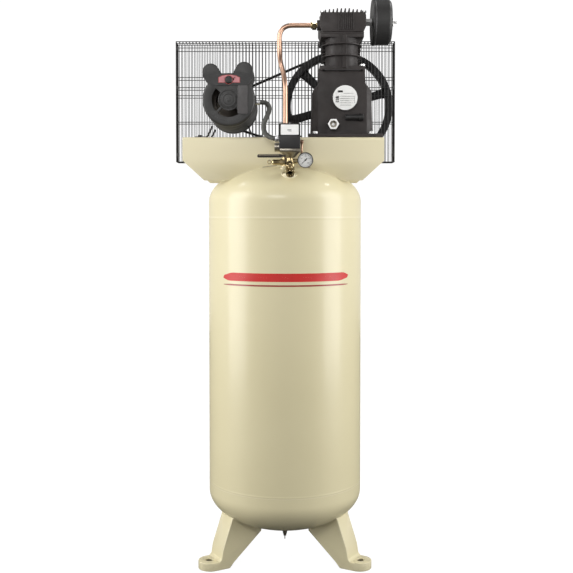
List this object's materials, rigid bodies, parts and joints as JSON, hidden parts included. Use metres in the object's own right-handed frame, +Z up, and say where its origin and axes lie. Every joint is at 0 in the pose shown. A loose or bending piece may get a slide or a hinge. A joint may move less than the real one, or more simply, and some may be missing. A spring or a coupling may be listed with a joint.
{
  "type": "vertical tank air compressor",
  "caption": "Cream 60-gallon vertical tank air compressor on three legs, with belt-driven twin pump, electric motor, wire belt guard, pressure switch and gauge.",
  "frame": {"origin": "middle of the footprint at floor level, under the machine; the tank's axis is 32 mm in front of it", "axes": "+Z up, +X to the right seen from the control side, +Y towards the belt guard at the back"},
  "size_m": [0.7635, 0.5735, 1.861],
  "materials": {
    "cream_paint": "gloss enamel",
    "brass": "turned",
    "pump_casting": "black enamel on rough casting",
    "bright_steel": "zinc plated",
    "white_label": "printed foil",
    "black_plastic": "moulded",
    "black_paint": "semi-gloss",
    "guard_wire": "black coated wire",
    "paper": "pleated",
    "core_steel": "machined",
    "capacitor_can": "drawn",
    "belt_rubber": "fabric-faced",
    "flywheel_iron": "black enamel on casting",
    "copper": "drawn",
    "zinc": "zinc plated",
    "aluminium": "die cast"
  },
  "bodies": {
    "root": {"tank_shell": "cream_paint", "tank_top_head": "cream_paint", "tank_bottom_head": "cream_paint", "tank_bosses": "cream_paint", "tank_leg_left": "cream_paint", "tank_leg_right": "cream_paint", "tank_leg_rear": "cream_paint", "drain_valve_body": "zinc", "top_plate": "cream_paint", "crankcase": "pump_casting", "bearing_carrier": "pump_casting", "crankcase_label": "white_label", "sight_glass": "bright_steel", "oil_fill_plug": "black_plastic", "cylinder_block": "pump_casting", "valve_plate": "pump_casting", "cylinder_head": "pump_casting", "pump_bolts": "bright_steel", "filter_housing": "black_paint", "filter_element": "paper", "filter_fittings": "bright_steel", "motor_shell": "black_paint", "motor_front_bell": "black_paint", "motor_rear_bell": "black_paint", "motor_stator": "core_steel", "motor_base": "black_paint", "capacitor_covers": "black_paint", "capacitors": "capacitor_can", "terminal_cover": "black_paint", "ball_bearings": "bright_steel", "drive_belt": "belt_rubber", "guard_front": "guard_wire", "guard_rear": "guard_wire", "discharge_tube": "copper", "tube_fittings": "brass", "check_valve": "brass", "manifold": "brass", "ball_valve_body": "brass", "relief_valve_body": "brass", "gauge_case": "zinc", "pressure_switch_base": "zinc", "pressure_switch_cover": "black_plastic", "unloader_line": "copper", "conduit": "black_plastic", "conduit_fittings": "bright_steel"},
    "crank": {"crankshaft": "core_steel", "flywheel": "flywheel_iron"},
    "rotor": {"motor_rotor": "core_steel", "motor_pulley": "flywheel_iron"},
    "piston_front": {"piston_front": "aluminium", "wrist_pin_front": "bright_steel"},
    "rod_front": {"connecting_rod_front": "aluminium"},
    "piston_rear": {"piston_rear": "aluminium", "wrist_pin_rear": "bright_steel"},
    "rod_rear": {"connecting_rod_rear": "aluminium"},
    "outlet_lever": {"ball_valve_lever": "black_paint"},
    "relief_ring": {"relief_valve_ring": "bright_steel"},
    "drain_key": {"drain_valve_key": "zinc"},
    "reset_button": {"reset_button": "black_plastic"},
    "gauge_needle": {"gauge_needle": "black_plastic"}
  },
  "joints": [
    {"name": "flywheel_spin", "type": "hinge", "parent": "root", "child": "crank", "pos_m": [0.187, 0.132, 1.525], "axis": [0, 1, 0], "continuous": true},
    {"name": "motor_spin", "type": "hinge", "parent": "root", "child": "rotor", "pos_m": [-0.178, 0.132, 1.509], "axis": [0, 1, 0], "continuous": true},
    {"name": "piston_front_slide", "type": "slide", "parent": "root", "child": "piston_front", "axis": [0, 0, 1], "range_m": [-0.0283, 0.0355]},
    {"name": "rod_front_swing", "type": "hinge", "parent": "piston_front", "child": "rod_front", "pos_m": [0.187, -0.068, 1.66642], "axis": [0, 1, 0], "range_deg": [0, 25.4]},
    {"name": "piston_rear_slide", "type": "slide", "parent": "root", "child": "piston_rear", "axis": [0, 0, 1], "range_m": [-0.0283, 0.0355]},
    {"name": "rod_rear_swing", "type": "hinge", "parent": "piston_rear", "child": "rod_rear", "pos_m": [0.187, 0.03, 1.66642], "axis": [0, 1, 0], "range_deg": [-25.4, 0]},
    {"name": "outlet_lever_turn", "type": "hinge", "parent": "root", "child": "outlet_lever", "pos_m": [0.016, -0.2673, 1.29741], "axis": [0, -0.5447, 0.8386], "range_deg": [0, 90]},
    {"name": "relief_ring_pull", "type": "slide", "parent": "root", "child": "relief_ring", "axis": [-1, 0, 0], "range_m": [0, 0.006], "stiffness_N_per_m": 1500, "springref_m": -0.002},
    {"name": "drain_key_turn", "type": "hinge", "parent": "root", "child": "drain_key", "pos_m": [0, -0.032, 0.06], "axis": [0, 0, 1], "range_deg": [0, 360]},
    {"name": "reset_button_press", "type": "slide", "parent": "root", "child": "reset_button", "axis": [0, 1, 0], "range_m": [0, 0.003], "stiffness_N_per_m": 800, "springref_m": -0.001},
    {"name": "gauge_needle_turn", "type": "hinge", "parent": "root", "child": "gauge_needle", "pos_m": [0.0645, -0.222, 1.316], "axis": [0, 1, 0], "range_deg": [0, 270], "stiffness_Nm_per_rad": 0.002, "springref_deg": -11.46}
  ],
  "couplings": [
    {"joint": "motor_spin", "follows": "flywheel_spin", "ratio": 3.3423}
  ]
}
